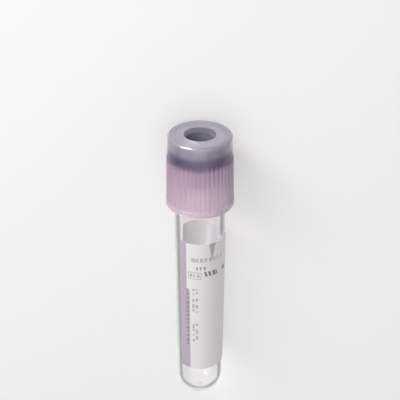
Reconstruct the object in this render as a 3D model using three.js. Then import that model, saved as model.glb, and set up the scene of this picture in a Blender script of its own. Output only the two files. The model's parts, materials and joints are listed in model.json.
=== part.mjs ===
// Evacuated blood collection tube with a shielded rubber stopper and a paper label.
// Millimetres, +Z up. The tube lies on its side with its closure towards +X, resting on the
// skirt's rim and on its own round bottom. Each piece is first made upright about the tube's
// axis, with the round bottom at z = 0, and the finished tube is then laid down as one group.
import * as THREE from 'three';

// ---- Driving dimensions ----

// Tube: clear plastic, slightly tapered, round bottom, open mouth
const tubeLength = 75;
const tubeMouthRadius = 6.5;
const tubeTaper = 0.3; // narrower than the mouth where the round bottom begins
const tubeWall = 1.05;
const tubeRimFillet = 0.3;

// Stopper: one piece of rubber, with a well on each side of the wall that the needle pierces
const headRadius = 5.65;
const headHeight = 0.9;
const flangeOverhang = 0.45; // past the outside of the tube's mouth
const flangeHeight = 2.4;
const rubberFillet = 0.25;
const plugLength = 6.7; // below the tube's rim
const plugRelief = 0.35; // how far the plug is cut back above, between and below its bands
const bandCount = 2;
const bandHeight = 1.3;
const bandPitch = 2.6;
const firstBandDepth = 1.1; // from the tube's rim to the top of the upper band
const bandBevel = 0.25;
const plugLead = 0.8; // how much the plug narrows again towards its end
const needleWellDepth = 4.8; // below the top of the shield
const needleWellStep = 0.2; // narrower than the hole in the shield
const needleWellDraft = 0.3;
const piercedWall = 3.2;
const plugEndWall = 1.07; // of rubber round the mouth of the lower well
const lowerWellDraft = 0.2;

// Shield: the cap over the stopper, which hangs down round the tube as a ribbed skirt
const shieldHeight = 18.6;
const topPlate = 1.2;
const holeRadius = 3.8;
const holeFillet = 0.25;
const collarWall = 0.85; // beside the stopper's flange
const collarHeight = 4.8; // the plain band below the top face
const collarFillet = 0.75;
const faceRingWidth = 1.1; // flat ring round the top face
const faceSink = 0.12; // the top face inside that ring lies this much lower
const retainingRing = 0.9; // thickness of the ring that holds the stopper's neck
const retainingRingLap = 0.85; // how far the ring reaches under the stopper's head
const skirtFlare = 0.45; // how much the bore of the skirt opens towards its foot
const skirtWall = 0.95; // at the foot, over the crests of the ribs
const ribCount = 44;
const ribDepth = 0.28;
const ribRise = 0.27; // from the collar out to the crests where the ribs begin
const ribFade = 1.3; // the height of that rise
const rimBandHeight = 1.4;
const rimBandRise = 0.1; // out from the crests to the plain band at the foot
const rimBandFillet = 0.25;

// Label: one strip of paper, which leaves a gap round the tube to see the fill
const labelFoot = 12; // from the bottom of the tube
const labelHeight = 41.1;
const labelThickness = 0.1;
const labelFirstFacet = 28; // of the tube's facets, counter-clockwise from -Y
const labelFacets = 37;

// Clearances
const plugClearance = 0.05; // the real plug is squeezed by the bore
const seatClearance = 0.05; // stopper on the rim, and stopper in the shield
const labelClearance = 0.03;

// Facets round each piece. Two make one rib, and the tube's lie flat on their lowest facet
const shieldFacets = 2 * ribCount;
const roundFacets = 46;
const filletSteps = 2;
const bottomSteps = 6;

// ---- Places along the axis, from the tube's rim up and down ----

const rimZ = tubeLength;
const flangeFootZ = rimZ + seatClearance;
const flangeTopZ = flangeFootZ + flangeHeight;
const ringFootZ = flangeTopZ + seatClearance;
const ringTopZ = ringFootZ + retainingRing;
const headFootZ = ringTopZ + seatClearance;
const headTopZ = headFootZ + headHeight;
const topPlateZ = headTopZ + seatClearance;
const shieldTopZ = topPlateZ + topPlate;
const shieldFootZ = shieldTopZ - shieldHeight;
const plugFootZ = rimZ - plugLength;
const needleWellZ = shieldTopZ - needleWellDepth;
const lowerWellZ = needleWellZ - piercedWall;

// ---- Radii that follow from the tube and the stopper ----

const tubeFootRadius = tubeMouthRadius - tubeTaper;
const flangeRadius = tubeMouthRadius + flangeOverhang;
const chamberRadius = headRadius + seatClearance;
const ringBoreRadius = chamberRadius - retainingRingLap;
const neckRadius = ringBoreRadius - seatClearance;
const skirtBoreTop = flangeRadius + seatClearance;
const skirtBoreFoot = skirtBoreTop + skirtFlare;
const collarRadius = skirtBoreTop + collarWall;
const crestTopRadius = collarRadius + ribRise;
const crestFootRadius = skirtBoreFoot + skirtWall;
const rimBandRadius = crestFootRadius + rimBandRise;

// The tube's outside and its bore at a height above its bottom
function tubeRadiusAt(z) {
  const share = (z - tubeFootRadius) / (tubeLength - tubeFootRadius);
  return tubeFootRadius + (tubeMouthRadius - tubeFootRadius) * share;
}

function boreRadiusAt(z) {
  return tubeRadiusAt(z) - tubeWall;
}

// ---- Shape helpers ----

function point(radius, z) {
  return new THREE.Vector2(radius, z);
}

// Points along an arc in the section, with angles in degrees from the outward radius
function arc(centreRadius, centreZ, radius, from, to, steps = filletSteps) {
  return Array.from({ length: steps + 1 }, (_, i) => {
    const angle = THREE.MathUtils.degToRad(from + ((to - from) * i) / steps);
    return point(centreRadius + radius * Math.cos(angle), centreZ + radius * Math.sin(angle));
  });
}

// A section turned about the upright axis. It runs up the outside and down the inside
function turned(section, facets, firstAngle = 0) {
  return new THREE.LatheGeometry(section, facets, firstAngle).rotateX(Math.PI / 2);
}

function piece(name, geometry, finish) {
  const mesh = new THREE.Mesh(geometry, new THREE.MeshStandardMaterial(finish));
  mesh.name = name;
  return mesh;
}

// ---- Tube ----

function makeTube() {
  const filletZ = rimZ - tubeRimFillet;
  const section = [
    ...arc(0, tubeFootRadius, tubeFootRadius, -90, 0, bottomSteps),
    ...arc(tubeMouthRadius - tubeRimFillet, filletZ, tubeRimFillet, 0, 90),
    ...arc(boreRadiusAt(rimZ) + tubeRimFillet, filletZ, tubeRimFillet, 90, 180),
    ...arc(0, tubeFootRadius, tubeFootRadius - tubeWall, 0, -90, bottomSteps),
  ];
  return piece('tube', turned(section, roundFacets), {
    color: 0xe4e4e6,
    roughness: 0.1,
    metalness: 0,
    transparent: true,
    opacity: 0.35,
  });
}

// ---- Stopper ----

// The side of the plug from its end up to the flange, with its sealing bands
function plugSide() {
  const side = [];
  const sideAt = (z, inset) => side.push(point(boreRadiusAt(z) - plugClearance - inset, z));
  for (let band = bandCount - 1; band >= 0; band--) {
    const topZ = rimZ - firstBandDepth - band * bandPitch;
    const footZ = topZ - bandHeight;
    sideAt(footZ - bandBevel, plugRelief);
    sideAt(footZ, 0);
    sideAt(topZ, 0);
    sideAt(topZ + bandBevel, plugRelief);
  }
  return side;
}

function makeStopper() {
  const plugEndRadius = boreRadiusAt(plugFootZ) - plugClearance - plugLead;
  const lowerWellRadius = plugEndRadius - plugEndWall;
  const wellCrown = lowerWellRadius - lowerWellDraft;
  const needleWellMouth = holeRadius - needleWellStep;
  const plugRootRadius = boreRadiusAt(rimZ) - plugClearance - plugRelief;
  const roundRadius = flangeRadius - rubberFillet;
  const headRound = headRadius - rubberFillet;
  const section = [
    point(0, lowerWellZ),
    ...arc(wellCrown - rubberFillet, lowerWellZ - rubberFillet, rubberFillet, 90, 0),
    point(lowerWellRadius, plugFootZ),
    ...arc(plugEndRadius - rubberFillet, plugFootZ + rubberFillet, rubberFillet, -90, 0),
    ...plugSide(),
    point(plugRootRadius, flangeFootZ),
    ...arc(roundRadius, flangeFootZ + rubberFillet, rubberFillet, -90, 0),
    ...arc(roundRadius, flangeTopZ - rubberFillet, rubberFillet, 0, 90),
    point(neckRadius, flangeTopZ),
    point(neckRadius, headFootZ),
    ...arc(headRound, headFootZ + rubberFillet, rubberFillet, -90, 0),
    ...arc(headRound, headTopZ - rubberFillet, rubberFillet, 0, 90),
    ...arc(needleWellMouth + rubberFillet, headTopZ - rubberFillet, rubberFillet, 90, 180),
    point(needleWellMouth - needleWellDraft, needleWellZ),
    point(0, needleWellZ),
  ];
  return piece('stopper', turned(section, roundFacets), {
    color: 0x5d5a70,
    roughness: 0.6,
    metalness: 0,
  });
}

// ---- Shield ----

// Every second line of the turned skirt is drawn in, which leaves the ribs between
function cutRibs(geometry, section, ribRings) {
  const position = geometry.getAttribute('position');
  for (let line = 1; line < shieldFacets; line += 2) {
    for (const ring of ribRings) {
      const vertex = line * section.length + ring;
      const share = 1 - ribDepth / section[ring].x;
      position.setXY(vertex, position.getX(vertex) * share, position.getY(vertex) * share);
    }
  }
}

function makeShield() {
  const sunkZ = shieldTopZ - faceSink;
  const faceRingInside = collarRadius - collarFillet - faceRingWidth;
  const ribFootZ = shieldFootZ + rimBandHeight;
  const ribTopZ = shieldTopZ - collarHeight - ribFade;
  const crestFoot = point(crestFootRadius, ribFootZ);
  const crestTop = point(crestTopRadius, ribTopZ);
  const section = [
    point(skirtBoreFoot, shieldFootZ),
    ...arc(rimBandRadius - rimBandFillet, shieldFootZ + rimBandFillet, rimBandFillet, -90, 0),
    point(rimBandRadius, ribFootZ - rimBandRise),
    crestFoot,
    crestTop,
    point(collarRadius, shieldTopZ - collarHeight),
    ...arc(collarRadius - collarFillet, shieldTopZ - collarFillet, collarFillet, 0, 90, 2 * filletSteps),
    point(faceRingInside, shieldTopZ),
    point(faceRingInside - faceSink, sunkZ),
    ...arc(holeRadius + holeFillet, sunkZ - holeFillet, holeFillet, 90, 180),
    point(holeRadius, topPlateZ),
    point(chamberRadius, topPlateZ),
    point(chamberRadius, ringTopZ),
    point(ringBoreRadius, ringTopZ),
    point(ringBoreRadius, ringFootZ),
    point(skirtBoreTop, ringFootZ),
    point(skirtBoreTop, flangeFootZ),
    point(skirtBoreFoot, shieldFootZ),
  ];
  const geometry = turned(section, shieldFacets, Math.PI / shieldFacets);
  cutRibs(geometry, section, [section.indexOf(crestFoot), section.indexOf(crestTop)]);
  return piece('shield', geometry, {
    color: 0xb3a3c2,
    roughness: 0.3,
    metalness: 0,
    transparent: true,
    opacity: 0.8,
  });
}

// ---- Label ----

// A thin block bent round the tube: its width follows the facets and its depth is the paper
function makeLabel() {
  const geometry = new THREE.BoxGeometry(1, 1, 1, labelFacets, 1, 1);
  const position = geometry.getAttribute('position');
  for (let i = 0; i < position.count; i++) {
    const facet = labelFirstFacet + labelFacets * (position.getX(i) + 0.5);
    const angle = (2 * Math.PI * facet) / roundFacets - Math.PI / 2;
    const z = labelFoot + labelHeight * (position.getY(i) + 0.5);
    const paper = labelThickness * (position.getZ(i) + 0.5);
    const radius = tubeRadiusAt(z) + labelClearance + paper;
    position.setXYZ(i, radius * Math.cos(angle), radius * Math.sin(angle), z);
  }
  return piece('label', geometry, { color: 0xf2f1ee, roughness: 0.75, metalness: 0 });
}

// ---- The tube laid down ----

// The slope of the axis when both the rim band's lower edge and the round bottom touch the floor
function restingSlope() {
  const along = shieldFootZ + rimBandFillet - tubeFootRadius;
  const reach = Math.hypot(along, rimBandRadius);
  return Math.atan2(rimBandRadius, along) - Math.asin(tubeFootRadius / reach);
}

const lying = new THREE.Group();
lying.add(makeTube(), makeStopper(), makeShield(), makeLabel());
lying.rotation.y = Math.PI / 2 - restingSlope();

// The origin is on the floor, under the middle of the whole tube
const bounds = new THREE.Box3().setFromObject(lying, true);
lying.position.set(-(bounds.min.x + bounds.max.x) / 2, 0, -bounds.min.z);

const bloodCollectionTube = new THREE.Group();
bloodCollectionTube.add(lying);

export default bloodCollectionTube;
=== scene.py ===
# Blood collection tube lying on a pale floor: clear plastic tube, rubber stopper, lavender shield and
# paper label. Lengths in the tables are millimetres. Each piece is made upright about the tube's axis,
# with the round bottom at z = 0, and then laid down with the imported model.
import json
import math
import bpy
from mathutils import Matrix, Vector


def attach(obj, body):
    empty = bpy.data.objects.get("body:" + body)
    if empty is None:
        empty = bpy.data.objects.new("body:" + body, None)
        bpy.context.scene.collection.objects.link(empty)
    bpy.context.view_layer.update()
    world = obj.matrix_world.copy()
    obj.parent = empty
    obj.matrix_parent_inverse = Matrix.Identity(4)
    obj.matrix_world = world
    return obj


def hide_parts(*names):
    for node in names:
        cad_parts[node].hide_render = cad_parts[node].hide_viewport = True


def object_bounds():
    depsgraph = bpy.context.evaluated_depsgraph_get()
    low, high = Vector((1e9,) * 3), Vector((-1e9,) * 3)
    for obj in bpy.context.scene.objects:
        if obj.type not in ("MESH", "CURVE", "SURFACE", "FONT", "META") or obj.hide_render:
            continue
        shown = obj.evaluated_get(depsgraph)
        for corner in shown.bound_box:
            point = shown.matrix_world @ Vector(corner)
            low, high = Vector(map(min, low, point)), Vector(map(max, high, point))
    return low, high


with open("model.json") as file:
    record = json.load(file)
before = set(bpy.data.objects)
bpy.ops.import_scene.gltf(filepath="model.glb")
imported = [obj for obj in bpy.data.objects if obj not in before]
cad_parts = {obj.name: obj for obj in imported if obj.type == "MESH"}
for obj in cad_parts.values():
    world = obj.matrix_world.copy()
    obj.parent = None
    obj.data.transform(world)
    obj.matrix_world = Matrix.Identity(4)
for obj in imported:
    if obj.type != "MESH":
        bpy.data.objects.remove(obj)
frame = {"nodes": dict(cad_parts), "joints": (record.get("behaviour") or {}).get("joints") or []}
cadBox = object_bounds()
mm = 0.001
print("frame:", ", ".join(sorted(frame["nodes"])))

# The tube's own frame: Z up its axis from the round bottom, Y level, X towards the floor
axis = Vector(frame["joints"][0]["axis"]).normalized()
shieldPoints = [vertex.co for vertex in frame["nodes"]["shield"].data.vertices]
tubePoints = [vertex.co for vertex in frame["nodes"]["tube"].data.vertices]
onAxis = sum(shieldPoints, Vector()) / len(shieldPoints)
bottom = min((point - onAxis).dot(axis) for point in tubePoints)
level = Vector((0, 1, 0))
lying = Matrix((level.cross(axis), level, axis)).transposed().to_4x4()
lying.translation = onAxis + axis * bottom


def arc(centreRadius, centreZ, radius, start, end, steps=6):
    points = []
    for step in range(steps + 1):
        angle = math.radians(start + (end - start) * step / steps)
        points.append((centreRadius + radius * math.cos(angle), centreZ + radius * math.sin(angle)))
    return points


def held(section, margin=0.06, shortest=0.5):
    # Extra points beside the ends of long straights, so that flats stay flat under smooth shading
    points = []
    for (r0, z0), (r1, z1) in zip(section, section[1:] + section[:1]):
        points.append((r0, z0))
        length = math.hypot(r1 - r0, z1 - z0)
        if length > shortest and max(r0, r1) > 0:
            for share in (margin / length, 1 - margin / length):
                points.append((r0 + (r1 - r0) * share, z0 + (z1 - z0) * share))
    return points


def turned(name, section, steps, shaped=None):
    # The section runs up the outside and down the inside, and closes on itself or ends on the axis
    vertices = []
    rings = []
    for radius, z in section:
        count = 1 if radius == 0 else steps
        rings.append([len(vertices) + step for step in range(count)])
        for step in range(count):
            angle = 2 * math.pi * step / steps
            r, h = shaped(radius, z, angle) if shaped else (radius, z)
            vertices.append((r * math.cos(angle) * mm, r * math.sin(angle) * mm, h * mm))
    faces = []
    for below, above in zip(rings, rings[1:] + rings[:1]):
        for step in range(steps):
            corners = [below[step % len(below)], below[(step + 1) % len(below)],
                       above[(step + 1) % len(above)], above[step % len(above)]]
            corners = list(dict.fromkeys(corners))
            if len(corners) > 2:
                faces.append(corners)
    mesh = bpy.data.meshes.new(name)
    mesh.from_pydata(vertices, [], faces)
    mesh.shade_smooth()
    return placed(name, mesh)


def placed(name, mesh):
    mesh.transform(lying)
    piece = bpy.data.objects.new(name, mesh)
    bpy.context.scene.collection.objects.link(piece)
    return piece


def finished(piece, material, node, body):
    piece.data.materials.append(material)
    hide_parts(node)
    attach(piece, body)
    print(f"{piece.name}: {len(piece.data.polygons)} faces, on {body}")


class Wire:
    # A socket that can be used in sums
    def __init__(self, shade, socket):
        self.shade = shade
        self.socket = socket

    def math(self, operation, first, second):
        return self.shade.node("Math", {"operation": operation}, {0: first, 1: second})

    def __add__(self, other):
        return self.math("ADD", self, other)

    def __radd__(self, other):
        return self.math("ADD", other, self)

    def __sub__(self, other):
        return self.math("SUBTRACT", self, other)

    def __rsub__(self, other):
        return self.math("SUBTRACT", other, self)

    def __mul__(self, other):
        return self.math("MULTIPLY", self, other)

    def __rmul__(self, other):
        return self.math("MULTIPLY", other, self)

    def __truediv__(self, other):
        return self.math("DIVIDE", self, other)

    def __rtruediv__(self, other):
        return self.math("DIVIDE", other, self)

    def __gt__(self, other):
        return self.math("GREATER_THAN", self, other)

    def __lt__(self, other):
        return self.math("LESS_THAN", self, other)

    def __abs__(self):
        return self.math("ABSOLUTE", self, 0)

    def least(self, other):
        return self.math("MINIMUM", self, other)

    def most(self, other):
        return self.math("MAXIMUM", self, other)

    def floor(self):
        return self.math("FLOOR", self, 0)

    def fraction(self):
        return self.math("FRACT", self, 0)


class Shade:
    def __init__(self, data):
        data.use_nodes = True
        self.tree = data.node_tree
        self.tree.nodes.clear()

    def node(self, kind, settings=None, values=None, out=0):
        made = self.tree.nodes.new("ShaderNode" + kind)
        for key, value in (settings or {}).items():
            setattr(made, key, value)
        for key, value in (values or {}).items():
            if isinstance(value, Wire):
                self.tree.links.new(value.socket, made.inputs[key])
            else:
                made.inputs[key].default_value = value
        return Wire(self, made.outputs[out]) if made.outputs else None

    def place(self):
        # Millimetres in the tube's own frame
        values = {"Vector": self.node("TexCoord", out="Object"), "Location": lying.translation,
                  "Rotation": lying.to_euler(), "Scale": (mm, mm, mm)}
        return self.node("Mapping", {"vector_type": "TEXTURE"}, values)

    def parts(self, vector):
        split = self.node("SeparateXYZ", values={0: vector}).socket.node
        return [Wire(self, output) for output in split.outputs]

    def fromAxis(self, x, y):
        flat = self.node("CombineXYZ", values={0: x, 1: y})
        return self.length(flat)

    def length(self, vector):
        return self.node("VectorMath", {"operation": "LENGTH"}, {0: vector}, out="Value")

    def viewers(self):
        # 1 for what the camera sees, for what gloss mirrors and for what shows through clear plastic
        path = self.node("LightPath").socket.node
        names = ("Is Camera Ray", "Is Glossy Ray", "Is Transmission Ray")
        return [Wire(self, path.outputs[name]) for name in names]

    def noise(self, scale, detail, roughness, vector=None):
        values = {"Scale": scale, "Detail": detail, "Roughness": roughness,
                  "Vector": vector or self.place()}
        return self.node("TexNoise", values=values, out="Fac")

    def ramp(self, value, start, end, low=0.0, high=1.0):
        # Low up to start, high past end, and smooth between them
        values = {"Value": value, "From Min": start, "From Max": end, "To Min": low, "To Max": high}
        return self.node("MapRange", {"interpolation_type": "SMOOTHSTEP"}, values)

    def spread(self, noise, low=0.0, high=1.0):
        # A noise keeps between about 0.3 and 0.7, which is stretched here from low to high
        return self.ramp(noise, 0.3, 0.7, low, high)

    def mix(self, share, first, second):
        colours = [c if isinstance(c, Wire) else (*c, 1) for c in (first, second)]
        return self.node("Mix", {"data_type": "RGBA"}, {0: share, 6: colours[0], 7: colours[1]}, out=2)

    def bump(self, height, distance, strength):
        return self.node("Bump", values={"Height": height, "Distance": distance * mm, "Strength": strength})

    def blend(self, share, first, second):
        return self.node("MixShader", values={0: share, 1: first, 2: second})

    def finish(self, surface):
        self.node("OutputMaterial", values={"Surface": surface})

    def passingLamps(self, surface, tint):
        # Light from the lamps reaches what is behind see-through plastic
        clear = self.node("BsdfTransparent", values={"Color": (*tint, 1)})
        return self.blend(self.node("LightPath", out="Is Shadow Ray"), surface, clear)


def darker(colour, share):
    return [part * share for part in colour]


studio = {
    "cameraAhead": 77,  # past the top of the closure
    "cameraHeight": 183,
    "cameraClip": (10, 10000),
    "aim": (21.5, 0, 8),
    "lens": 72,
    "floorColour": (0.86, 0.86, 0.855),
    "floorSize": 3500,
    "floorGlow": 0.35,  # share of the near floor that is plain white to the eye, so that shadows stay light
    "floorFade": (120, 700),  # from here to here that share grows to the whole
    "world": 0.5,
    "horizon": 0.3,  # what gloss and clear plastic see low down, beside the white overhead
    "horizonTop": 0.6,
    "cards": (8, 26),  # grey cards on both sides of the tube, which only clear plastic sees: from, to
    "cardFades": (5, 14),  # how soft their inner and outer edges are
    "cardBrightness": 0.24,
    "lamps": [
        # name, direction from the tube, way its long side runs, distance, size, irradiance
        ("key", (0.71, 0.56, 0.43), (-0.22, 0.74, -0.63), 420, (217, 60), 0.62),
        ("overhead", (-0.1, 0.05, 1.0), (1, 0, 0), 600, (600, 600), 0.33),
    ],
}


def makeCamera():
    cameraData = bpy.data.cameras.new("camera")
    cameraData.lens = studio["lens"]
    near, far = studio["cameraClip"]
    cameraData.clip_start = near * mm
    cameraData.clip_end = far * mm
    camera = bpy.data.objects.new("camera", cameraData)
    bpy.context.scene.collection.objects.link(camera)
    camera.location = (cadBox[1].x + studio["cameraAhead"] * mm, 0, studio["cameraHeight"] * mm)
    look = Vector(studio["aim"]) * mm - camera.location
    # Image up runs along the tube towards its closure
    right = look.cross(Vector((1, 0, 0))).normalized()
    up = right.cross(look).normalized()
    camera.rotation_euler = Matrix((right, up, -look.normalized())).transposed().to_euler()
    bpy.context.scene.camera = camera


def makeLamps():
    for name, direction, along, distance, size, irradiance in studio["lamps"]:
        lampData = bpy.data.lights.new(name, "AREA")
        lampData.shape = "RECTANGLE"
        lampData.size = size[0] * mm
        lampData.size_y = size[1] * mm
        lampData.energy = irradiance * (math.pi * distance * mm) ** 2
        lamp = bpy.data.objects.new(name, lampData)
        bpy.context.scene.collection.objects.link(lamp)
        towards = Vector(direction).normalized()
        across = towards.cross(Vector(along)).normalized()
        lamp.location = towards * distance * mm
        lamp.rotation_euler = Matrix((across.cross(towards), across, towards)).transposed().to_euler()


def makeWorld():
    world = bpy.data.worlds.new("world")
    bpy.context.scene.world = world
    shade = Shade(world)
    camera, gloss, through = shade.viewers()
    rise = shade.parts(shade.node("TexCoord", out="Generated"))[2]
    grey = shade.mix(shade.ramp(rise, 0.0, studio["horizonTop"]), [studio["horizon"]] * 3, (1, 1, 1))
    lit = shade.node("Background", values={"Color": (1, 1, 1, 1), "Strength": studio["world"]})
    around = shade.node("Background", values={"Color": grey, "Strength": 1})
    behind = shade.node("Background", values={"Color": (1, 1, 1, 1), "Strength": 1})
    surface = shade.blend((gloss + through).least(1), lit, around)
    shade.node("OutputWorld", values={"Surface": shade.blend(camera, surface, behind)})


def makeFloor():
    half = studio["floorSize"] * mm / 2
    corners = [(-half, -half, 0), (half, -half, 0), (half, half, 0), (-half, half, 0)]
    mesh = bpy.data.meshes.new("floor")
    mesh.from_pydata(corners, [], [(0, 1, 2, 3)])
    floor = bpy.data.objects.new("floor", mesh)
    bpy.context.scene.collection.objects.link(floor)
    material = bpy.data.materials.new("pale_floor")
    shade = Shade(material)
    paint = shade.node("BsdfDiffuse", values={"Color": (*studio["floorColour"], 1)})
    glow = shade.node("Emission", values={"Color": (*studio["floorColour"], 1), "Strength": 1})
    place = shade.node("TexCoord", out="Object")
    near, far = studio["floorFade"]
    white = shade.ramp(shade.length(place), near * mm, far * mm, studio["floorGlow"], 1.0)
    camera, gloss, through = shade.viewers()
    surface = shade.blend((camera + gloss + through).least(1) * white, paint, glow)
    start, end = studio["cards"]
    startFade, endFade = studio["cardFades"]
    aside = abs(shade.parts(place)[1])
    card = shade.ramp(aside, start * mm, (start + startFade) * mm)
    card = card * shade.ramp(aside, (end + endFade) * mm, end * mm) * through
    grey = shade.node("Emission", values={"Color": (1, 1, 1, 1), "Strength": studio["cardBrightness"]})
    shade.finish(shade.blend(card, surface, grey))
    mesh.materials.append(material)


bpy.context.scene.view_settings.view_transform = "Standard"
makeCamera()
makeLamps()
makeWorld()
makeFloor()
print("studio: camera,", len(studio["lamps"]), "lamps, floor")


tube = {
    "length": 75,
    "mouthRadius": 6.5,
    "footRadius": 6.19,  # where the round bottom begins
    "wall": 1.05,
    "rimFillet": 0.3,
    "gateRadius": 0.95,  # the moulding's gate mark in the middle of the round bottom
    "gateDepth": 0.12,
    "gateSteps": (0.35, 0.45, 0.85),  # shares of its radius: the pip's top and foot, the end of the floor
    "gateFloor": 0.95,  # share of its depth
    "steps": 192,
    "bottomSteps": 24,
    "flatFrom": 3,  # straights longer than this are held flat
    "colour": (0.94, 0.93, 0.935),
    "waveShade": 0.985,  # the waves' colour as a share of the plastic's
    "seeThrough": 0.965,  # the rest is a slight haze, which keeps the rim of the mouth from going black
    "roughness": 0.03,
    "ior": 1.57,
    "lampTint": (0.96, 0.96, 0.96),
    "drawnOut": (1, 1, 0.12),  # the waves and the scuffs run along the tube
    "waves": (0.45, 2, 0.4),  # scale, detail and roughness of the noise
    "scuffs": (9, 3, 0.6),
    "waveHeight": 0.8,
    "scuffHeight": 0.02,
    "bump": (0.05, 0.35),  # distance and strength
}


def tubeRadiusAt(z):
    share = (z - tube["footRadius"]) / (tube["length"] - tube["footRadius"])
    return tube["footRadius"] + (tube["mouthRadius"] - tube["footRadius"]) * share


def makeTube():
    foot = tube["footRadius"]
    rim = tube["length"]
    fillet = tube["rimFillet"]
    bore = tube["mouthRadius"] - tube["wall"]
    inside = foot - tube["wall"]
    gate = tube["gateRadius"]
    depth = tube["gateDepth"]
    pipTop, pipFoot, floorEnd = tube["gateSteps"]
    gateEdge = foot - math.sqrt(foot ** 2 - gate ** 2)
    gateAngle = math.degrees(math.asin(gate / foot))
    gateFloor = gateEdge + depth * tube["gateFloor"]
    section = [
        (0, depth),
        (gate * pipTop, depth),
        (gate * pipFoot, gateFloor),
        (gate * floorEnd, gateFloor),
        *arc(0, foot, foot, -90 + gateAngle, 0, tube["bottomSteps"]),
        *arc(tube["mouthRadius"] - fillet, rim - fillet, fillet, 0, 90),
        *arc(bore + fillet, rim - fillet, fillet, 90, 180),
        *arc(0, foot, inside, 0, -90, tube["bottomSteps"]),
    ]
    section[-1] = (0, foot - inside)
    return turned("clear_tube", held(section, shortest=tube["flatFrom"]), tube["steps"])


def clearPlastic():
    material = bpy.data.materials.new("clear_plastic")
    shade = Shade(material)
    drawnOut = shade.node("VectorMath", {"operation": "MULTIPLY"}, {0: shade.place(), 1: tube["drawnOut"]})
    waves = shade.noise(*tube["waves"], drawnOut)
    scuffs = shade.noise(*tube["scuffs"], drawnOut)
    relief = waves * tube["waveHeight"] + scuffs * tube["scuffHeight"]
    surface = shade.node("BsdfPrincipled", values={
        "Base Color": shade.mix(waves, tube["colour"], darker(tube["colour"], tube["waveShade"])),
        "Roughness": tube["roughness"],
        "IOR": tube["ior"],
        "Transmission Weight": tube["seeThrough"],
        "Normal": shade.bump(relief, *tube["bump"]),
    })
    shade.finish(shade.passingLamps(surface, tube["lampTint"]))
    return material


finished(makeTube(), clearPlastic(), "tube", "tube")


stopper = {
    "headRadius": 5.65,
    "headTop": 79.35,
    "headFoot": 78.45,
    "neckRadius": 4.8,
    "flangeRadius": 6.95,
    "flangeTop": 77.45,
    "flangeFoot": 75.05,
    "fillet": 0.25,
    "plugFoot": 68.3,
    "plugClearance": 0.05,
    "plugRelief": 0.35,
    "bands": [(70.0, 71.3), (72.6, 73.9)],  # foot and top of each sealing band
    "bandBevel": 0.25,
    "bandCrown": (0.15, 0.06),  # how far in from its edges a band is full, and how much lower the edges are
    "plugLead": 0.8,
    "plugEndWall": 1.07,
    "lowerWellCrown": 72.6,
    "lowerWellDraft": 0.2,
    "lowerWellChamfer": 0.08,
    "wellFloor": 75.8,
    "wellFillet": 0.45,
    "wellMouthRadius": 3.6,
    "wellFloorRadius": 3.3,
    "targetRadius": 1.7,  # the thinned disc that the needle pierces
    "targetDepth": 0.35,
    "targetBrim": 0.2,
    "targetFillet": 0.1,
    "steps": 160,
    "colour": (0.165, 0.16, 0.212),
    "paleColour": (0.225, 0.22, 0.275),
    "roughness": (0.42, 0.6),  # from lowest to highest
    "specular": 0.45,
    "mottle": (0.9, 4, 0.6),  # scale, detail and roughness of the noise
    "grain": (14, 4, 0.65),
    "mottleHeight": 0.5,
    "bump": (0.03, 0.5),  # distance and strength
}


def makeStopper():
    fillet = stopper["fillet"]
    bore = tube["wall"] + stopper["plugClearance"]
    relief = stopper["plugRelief"]
    bevel = stopper["bandBevel"]
    full, lower = stopper["bandCrown"]
    side = []
    for foot, top in stopper["bands"]:
        for z, inset in ((foot - bevel, relief), (foot, lower), (foot + full, 0),
                         (top - full, 0), (top, lower), (top + bevel, relief)):
            side.append((tubeRadiusAt(z) - bore - inset, z))
    plugFoot = stopper["plugFoot"]
    endRadius = tubeRadiusAt(plugFoot) - bore - stopper["plugLead"]
    lowerWell = endRadius - stopper["plugEndWall"]
    crown = lowerWell - stopper["lowerWellDraft"]
    chamfer = stopper["lowerWellChamfer"]
    root = tubeRadiusAt(tube["length"]) - bore - relief
    flange = stopper["flangeRadius"] - fillet
    head = stopper["headRadius"] - fillet
    floor = stopper["wellFloor"]
    wellFillet = stopper["wellFillet"]
    target = stopper["targetRadius"]
    targetZ = floor - stopper["targetDepth"]
    brim = stopper["targetBrim"]
    corner = stopper["targetFillet"]
    section = [
        (0, stopper["lowerWellCrown"]),
        *arc(crown - fillet, stopper["lowerWellCrown"] - fillet, fillet, 90, 0),
        (lowerWell, plugFoot + chamfer),
        (lowerWell + chamfer, plugFoot),
        *arc(endRadius - fillet, plugFoot + fillet, fillet, -90, 0),
        *side,
        (root, stopper["flangeFoot"]),
        *arc(flange, stopper["flangeFoot"] + fillet, fillet, -90, 0),
        *arc(flange, stopper["flangeTop"] - fillet, fillet, 0, 90),
        (stopper["neckRadius"], stopper["flangeTop"]),
        (stopper["neckRadius"], stopper["headFoot"]),
        *arc(head, stopper["headFoot"] + fillet, fillet, -90, 0),
        *arc(head, stopper["headTop"] - fillet, fillet, 0, 90),
        *arc(stopper["wellMouthRadius"] + fillet, stopper["headTop"] - fillet, fillet, 90, 180),
        *arc(stopper["wellFloorRadius"] - wellFillet, floor + wellFillet, wellFillet, 0, -90),
        *arc(target + brim, floor - brim, brim, 90, 180, 4),
        *arc(target - corner, targetZ + corner, corner, 0, -90, 3),
        (0, targetZ),
    ]
    return turned("rubber_stopper", held(section), stopper["steps"])


def stopperRubber():
    material = bpy.data.materials.new("stopper_rubber")
    shade = Shade(material)
    mottle = shade.noise(*stopper["mottle"])
    grain = shade.noise(*stopper["grain"])
    surface = shade.node("BsdfPrincipled", values={
        "Base Color": shade.mix(shade.spread(mottle), stopper["colour"], stopper["paleColour"]),
        "Roughness": shade.spread(grain, *stopper["roughness"]),
        "Specular IOR Level": stopper["specular"],
        "Normal": shade.bump(grain + mottle * stopper["mottleHeight"], *stopper["bump"]),
    })
    shade.finish(surface)
    return material


finished(makeStopper(), stopperRubber(), "stopper", "closure")


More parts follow.
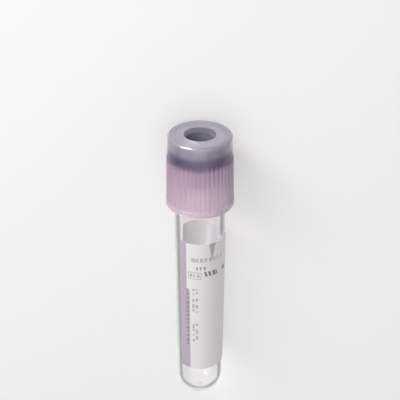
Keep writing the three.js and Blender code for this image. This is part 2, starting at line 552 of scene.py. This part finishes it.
shield = {
    "top": 80.6,
    "foot": 62.0,
    "plateUnderside": 79.4,
    "holeRadius": 3.8,
    "holeFillet": 0.15,
    "holeFootFillet": 0.1,
    "collarRadius": 7.85,
    "collarFoot": 75.8,
    "collarFillet": 0.75,
    "edgeLand": (40.4, 10.8),  # a narrow flat on that fillet: its slope and half its arc, in degrees
    "edgeLandHeld": 0.12,  # share of the flat at each end that is held flat
    "faceRingInside": 6.0,
    "faceSink": 0.12,
    "faceFillet": 0.08,
    "faceEdge": 0.22,  # how far inside the ring the even rows of the sunk face start
    "faceRows": 20,
    "chamberRadius": 5.7,
    "ringTop": 78.4,
    "ringFoot": 77.5,
    "ringBore": 4.85,
    "boreTopRadius": 7.0,
    "boreTopZ": 75.05,
    "boreFootRadius": 7.45,
    "innerFillet": 0.12,
    "crestTopRadius": 8.12,
    "ribTop": 74.5,
    "crestFootRadius": 8.39,
    "ribFoot": 63.4,
    "ribRows": 24,
    "closeRows": (4, 0.12),  # the first ones, where the grooves start: how many, how far apart
    "collarRows": 8,  # from the ribs out to the collar
    "rimBandTop": 63.3,
    "rimBandRadius": 8.49,
    "rimBandFillet": 0.25,
    "rimBandShoulder": 0.12,
    "ribCount": 44,
    "ribDepth": 0.28,
    "ribbedOutside": 7.6,  # the bore, inside this radius, is plain
    "grooveFoot": (63.35, 63.75),  # the grooves deepen from z to z
    "grooveTop": (74.3, 75.8),  # and fade out from z to z
    "firstCrest": -2.045,  # degrees past the first line of the turned mesh
    "stepsPerRib": 10,
    "gateRadius": 0.32,  # the gate mark on the top face
    "gateHeight": 0.1,
    "gateFlat": 0.6,  # share of its radius that is flat on top
    "gateAt": (5.15, -52),  # its distance from the axis and its angle
    # Face and collar are one plastic: the face is painted lighter as painted light on the top, the collar
    # darker as painted shade on the side
    "faceLitColour": (0.665, 0.635, 0.745),
    "collarShadedColour": (0.475, 0.415, 0.525),
    "holeShadeColour": (0.29, 0.275, 0.355),  # painted shade round the hole, where the dark rubber lies behind the wall
    "bandShadeColour": (0.165, 0.105, 0.235),  # painted shade of the dark rubber that lies right behind the wall
    # The upper skirt is painted darker, as painted shade of the rubber plug behind it; it is paler towards
    # the foot
    "skirtPlugShadeColour": (0.615, 0.455, 0.59),
    "skirtFootColour": (0.7, 0.565, 0.665),
    "cloudColour": (0.8, 0.76, 0.84),
    "cloudShare": 0.12,
    # Where one finish or painted shade turns into the next: from z to z, or for the hole from radius to
    # radius
    "skirtToFoot": (73.5, 65.5),
    "collarToFace": (79.5, 80.5),
    "faceToHoleShade": (4.02, 3.86),
    "collarToShadeBand": (78.7, 76.4),
    "shadeBandToSkirt": (75.3, 73.5),
    "coatFrom": (76.5, 79.0),
    "faceGrainFrom": (80.3, 80.45),
    "seeThrough": 0.74,
    "roughness": 0.36,
    "coat": (0.25, 1.0),  # on the skirt, and on the collar and the face
    "coatRoughness": 0.03,
    "ior": 1.49,
    "lampTint": (0.86, 0.80, 0.86),
    "cloud": (0.25, 3, 0.5),  # scale, detail and roughness of the noise
    "grain": (11, 3, 0.6),
    "grainHeight": (0.4, 0.6),  # all over, and what the face has on top of it
    "cloudHeight": 0.6,
    "bump": (0.03, 0.3),  # distance and strength
}


def smooth(value, start, end):
    share = min(max((value - start) / (end - start), 0), 1)
    return share * share * (3 - 2 * share)


def shieldShape(radius, z, angle):
    # Ribs on the skirt, with rounded crests and sharp grooves that fade out at both ends
    if z < shield["collarFoot"] and radius > shield["ribbedOutside"]:
        turn = angle - math.radians(shield["firstCrest"])
        groove = 1 - abs(math.cos(shield["ribCount"] * turn / 2))
        fade = smooth(z, *shield["grooveFoot"]) * (1 - smooth(z, *shield["grooveTop"]))
        radius -= shield["ribDepth"] * groove * fade
    if z > (shield["plateUnderside"] + shield["top"]) / 2 and radius > shield["holeRadius"]:
        distance, direction = shield["gateAt"]
        x = radius * math.cos(angle) - distance * math.cos(math.radians(direction))
        y = radius * math.sin(angle) - distance * math.sin(math.radians(direction))
        edge = shield["gateRadius"]
        z += shield["gateHeight"] * (1 - smooth(math.hypot(x, y), edge * shield["gateFlat"], edge))
    return radius, z


def skirtSection():
    # Up the crests of the ribs from the rim band to the collar
    foot = shield["ribFoot"]
    top = shield["ribTop"]
    collar = shield["collarFoot"]
    crest = shield["crestTopRadius"]
    close, apart = shield["closeRows"]
    points = []
    for row in range(shield["ribRows"] + 1):
        share = row / shield["ribRows"]
        radius = shield["crestFootRadius"] + (crest - shield["crestFootRadius"]) * share
        points.append((radius, foot + apart * row if row < close else foot + (top - foot) * share))
    for row in range(1, shield["collarRows"] + 1):
        z = top + (collar - top) * row / shield["collarRows"]
        rise = 1 - smooth(z, top, collar)
        points.append((shield["collarRadius"] + (crest - shield["collarRadius"]) * rise, z))
    return points


def edgeSection():
    # Over the collar's top edge, with its narrow flat
    slope, half = shield["edgeLand"]
    margin = shield["edgeLandHeld"]
    fillet = shield["collarFillet"]
    centre = (shield["collarRadius"] - fillet, shield["top"] - fillet)
    lower = arc(*centre, fillet, 0, slope - half)
    upper = arc(*centre, fillet, slope + half, 90, 8)
    ends = list(zip(lower[-1], upper[0]))
    land = [tuple(a + (b - a) * share for a, b in ends) for share in (margin, 1 - margin)]
    return lower + land + upper


def faceSection():
    # From the raised ring over the sunk face into the hole
    top = shield["top"]
    sunk = top - shield["faceSink"]
    fillet = shield["faceFillet"]
    holeFillet = shield["holeFillet"]
    ring = shield["faceRingInside"]
    start = ring - shield["faceEdge"]
    end = shield["holeRadius"] + holeFillet
    points = arc(ring + fillet, top - fillet, fillet, 90, 150, 3)
    points += arc(ring - 2 * fillet, sunk + fillet, fillet, -30, -90, 3)
    for row in range(1, shield["faceRows"]):
        points.append((start + (end - start) * row / shield["faceRows"], sunk))
    return points + arc(end, sunk - holeFillet, holeFillet, 90, 180)


def makeShield():
    foot = shield["foot"]
    rim = shield["rimBandRadius"]
    rimFillet = shield["rimBandFillet"]
    shoulder = shield["rimBandShoulder"]
    fillet = shield["innerFillet"]
    underside = shield["plateUnderside"]
    holeFoot = shield["holeFootFillet"]
    boreFoot = shield["boreFootRadius"] + fillet
    ringBore = shield["ringBore"] + fillet
    section = [
        *arc(boreFoot, foot + fillet, fillet, 180, 270, 3),
        *arc(rim - rimFillet, foot + rimFillet, rimFillet, -90, 0),
        *arc(rim - shoulder, shield["rimBandTop"] - shoulder, shoulder, 0, 60, 3),
        *skirtSection(),
        *edgeSection(),
        *faceSection(),
        *arc(shield["holeRadius"] + holeFoot, underside + holeFoot, holeFoot, 180, 270, 3),
        (shield["chamberRadius"], underside),
        (shield["chamberRadius"], shield["ringTop"]),
        *arc(ringBore, shield["ringTop"] - fillet, fillet, 90, 180, 3),
        *arc(ringBore, shield["ringFoot"] + fillet, fillet, 180, 270, 3),
        (shield["boreTopRadius"], shield["ringFoot"]),
        (shield["boreTopRadius"], shield["boreTopZ"]),
    ]
    return turned("lavender_shield", held(section), shield["ribCount"] * shield["stepsPerRib"], shieldShape)


def shieldPlastic():
    material = bpy.data.materials.new("shield_plastic")
    shade = Shade(material)
    place = shade.place()
    x, y, z = shade.parts(place)
    cloud = shade.noise(*shield["cloud"], place)
    grain = shade.noise(*shield["grain"], place)

    def turnsInto(value, limits, first, second):
        return shade.mix(shade.ramp(value, *shield[limits]), first, second)

    # The skirt: painted shade of the rubber plug near the top, paler towards its foot
    skirt = turnsInto(z, "skirtToFoot", shield["skirtPlugShadeColour"], shield["skirtFootColour"])
    # Painted light on the top face and painted shade on the collar, blended over the edge
    upper = turnsInto(z, "collarToFace", shield["collarShadedColour"], shield["faceLitColour"])
    # Painted shade round the hole: the face darkens towards the hole's edge
    upper = turnsInto(shade.fromAxis(x, y), "faceToHoleShade", upper, shield["holeShadeColour"])
    # Painted shade: a dark band below the collar, where the rubber lies behind the wall
    colour = turnsInto(z, "collarToShadeBand", upper, shield["bandShadeColour"])
    colour = turnsInto(z, "shadeBandToSkirt", colour, skirt)
    colour = shade.mix(shade.spread(cloud, 0, shield["cloudShare"]), colour, shield["cloudColour"])
    allOver, onFace = shield["grainHeight"]
    face = shade.ramp(z, *shield["faceGrainFrom"])
    relief = grain * (allOver + onFace * face) + cloud * shield["cloudHeight"]
    surface = shade.node("BsdfPrincipled", values={
        "Base Color": colour,
        "Roughness": shield["roughness"],
        "IOR": shield["ior"],
        "Transmission Weight": shield["seeThrough"],
        "Coat Weight": shade.ramp(z, *shield["coatFrom"], *shield["coat"]),
        "Coat Roughness": shield["coatRoughness"],
        "Normal": shade.bump(relief, *shield["bump"]),
    })
    shade.finish(shade.passingLamps(surface, shield["lampTint"]))
    return material


finished(makeShield(), shieldPlastic(), "shield", "closure")


label = {
    "foot": 12,
    "height": 41.1,
    "thickness": 0.1,
    "clearance": 0.03,
    "leftEdge": 129.13,  # degrees about the axis
    "sweep": 289.57,
    "columns": 180,
    "rows": 48,
    "sharpFrom": 40,  # degrees between faces
    "paper": (0.72, 0.705, 0.69),
    "fibreShade": 0.965,  # the darker fibres' colour as a share of the paper's
    # The label's inside is painted lighter than the front paper, as painted light in the tube's shaded
    # inside
    "back": (0.77, 0.75, 0.755),
    "print": (0.42, 0.37, 0.425),
    "ink": (0.11, 0.105, 0.125),
    "lampTint": (0.8, 0.79, 0.78),
    "fibre": (6, 4, 0.6),  # scale, detail and roughness of the noise
    "roughness": (0.48, 0.62),  # from lowest to highest
    "bump": (0.02, 0.4),  # distance and strength
    # The print is laid out flat. A field is its left and right, from the label's left edge, and its top and
    # foot, from the label's top edge.
    "printRadius": 6.45,  # that the flat print is rolled round
    "softness": 0.05,
    "blockLengths": (0.25, 0.9),  # shares of the pitch
    "strips": [(-1, 2.1, -1, 14.5), (-1, 3.0, 14.5, 60)],
    "wedge": (7.5, 12, -1, 4.6),
    "wedgeLeft": (8.0, 0.15),  # where that side starts, and how it leans
    "wedgeRight": (9.9, -0.2),
    "lines": [
        # field, lean, pitch, seed, darkness
        ((2.9, 12.0, 4.1, 5.3), 0, 1.15, 3, 0.45),
        ((4.8, 7.4, 6.7, 7.7), 0, 0.95, 17, 0.75),
        ((3.1, 5.6, 9.1, 10.1), 0, 1.0, 29, 0.55),
        ((6.6, 10.8, 8.3, 9.8), 0.3, 1.05, 31, 0.85),
    ],
    "blockColumns": [
        # field, pitch, seed, darkness
        ((3.7, 4.3, 13.8, 31.4), 1.7, 47, 0.5),
        ((4.6, 5.2, 13.8, 31.4), 2.1, 59, 0.5),
        ((2.0, 2.75, 13.8, 33.0), 1.4, 71, 0.5),
    ],
    "columnGap": (3, 6, 21.4, 25.0),
    "frame": (2.6, 6.1, 8.5, 10.7),
    "frameWidth": 0.2,
    "frameDarkness": 0.5,
    "mark": (12.2, 13.9, 8.0, 9.6),  # a small arrowhead for the fill
    "markTip": (13.05, 8.1),
    "markSlope": 1.4,
    "markDarkness": 0.8,
}


def makeLabel():
    vertices = []
    columns = label["columns"]
    rows = label["rows"]
    for side in (0, 1):
        for row in range(rows + 1):
            z = label["foot"] + label["height"] * row / rows
            radius = tubeRadiusAt(z) + label["clearance"] + label["thickness"] * side
            for column in range(columns + 1):
                angle = math.radians(label["leftEdge"] + label["sweep"] * column / columns)
                vertices.append((radius * math.cos(angle) * mm, radius * math.sin(angle) * mm, z * mm))
    width = columns + 1
    layer = width * (rows + 1)
    faces = []
    for row in range(rows):
        for column in range(columns):
            corner = row * width + column
            outer = corner + layer
            faces.append((outer, outer + 1, outer + width + 1, outer + width))
            faces.append((corner, corner + width, corner + width + 1, corner + 1))
    border = list(range(columns))
    border += [row * width + columns for row in range(rows)]
    border += [rows * width + column for column in range(columns, 0, -1)]
    border += [row * width for row in range(rows, 0, -1)]
    for here, there in zip(border, border[1:] + border[:1]):
        faces.append((here, there, there + layer, here + layer))
    mesh = bpy.data.meshes.new("paper_label")
    mesh.from_pydata(vertices, [], faces)
    mesh.shade_smooth()
    mesh.set_sharp_from_angle(angle=math.radians(label["sharpFrom"]))
    return placed("paper_label", mesh)


def labelPaper():
    material = bpy.data.materials.new("label_paper")
    shade = Shade(material)
    place = shade.place()
    middle = label["leftEdge"] + label["sweep"] / 2
    turnedPlace = shade.node("Mapping", values={"Vector": place, "Rotation": (0, 0, -math.radians(middle))})
    x, y, z = shade.parts(turnedPlace)
    taper = (tubeRadiusAt(tube["length"]) - tubeRadiusAt(0)) / tube["length"]
    half = tubeRadiusAt(0) + label["clearance"] + label["thickness"] / 2
    outside = shade.fromAxis(x, y) - z * taper > half
    angle = shade.node("Math", {"operation": "ARCTAN2"}, {0: y, 1: x})
    across = (angle + math.radians(label["sweep"] / 2)) * label["printRadius"]
    below = (label["foot"] + label["height"]) - z
    soft = label["softness"]

    def field(left, right, top, foot):
        inside = shade.ramp(across, left - soft, left + soft)
        inside = inside * shade.ramp(across, right + soft, right - soft)
        inside = inside * shade.ramp(below, top - soft, top + soft)
        return inside * shade.ramp(below, foot + soft, foot - soft)

    def blocks(along, pitch, seed):
        # Blocks of uneven length along a line, with gaps between them
        shortest, longest = label["blockLengths"]
        step = along / pitch
        values = {"W": step.floor() + seed}
        pick = shade.node("TexWhiteNoise", {"noise_dimensions": "1D"}, values, out="Value")
        return step.fraction() < shortest + (longest - shortest) * pick

    fibre = shade.noise(*label["fibre"], place)
    paper = shade.mix(shade.spread(fibre), label["paper"], darker(label["paper"], label["fibreShade"]))
    left, leftLean = label["wedgeLeft"]
    right, rightLean = label["wedgeRight"]
    wedge = shade.ramp(across - below * leftLean, left, left + 2 * soft)
    wedge = wedge * shade.ramp(across - below * rightLean, right, right - 2 * soft)
    wedge = wedge * field(*label["wedge"])
    upperStrip, lowerStrip = [field(*strip) for strip in label["strips"]]
    colour = shade.mix(wedge.most(upperStrip + lowerStrip) * outside, paper, label["print"])

    tip, start = label["markTip"]
    mark = shade.ramp(below - abs(across - tip) * label["markSlope"], start, start + 2 * soft)
    ink = mark * field(*label["mark"]) * label["markDarkness"]
    left, right, top, foot = label["frame"]
    line = label["frameWidth"]
    window = field(left + line, right - line, top + line, foot - line)
    ink = ink + field(*label["frame"]) * (1 - window) * label["frameDarkness"]
    for area, lean, pitch, seed, darkness in label["lines"]:
        along = across - below * lean if lean else across
        ink = ink + field(*area) * blocks(along, pitch, seed) * darkness
    gap = 1 - field(*label["columnGap"])
    for area, pitch, seed, darkness in label["blockColumns"]:
        ink = ink + field(*area) * blocks(below, pitch, seed) * gap * darkness
    colour = shade.mix(ink.least(1) * outside, colour, label["ink"])
    # The inside faces take the painted-light back colour
    colour = shade.mix(outside, label["back"], colour)
    surface = shade.node("BsdfPrincipled", values={
        "Base Color": colour,
        "Roughness": shade.spread(fibre, *label["roughness"]),
        "Normal": shade.bump(fibre, *label["bump"]),
    })
    shade.finish(shade.passingLamps(surface, label["lampTint"]))
    return material


finished(makeLabel(), labelPaper(), "label", "tube")
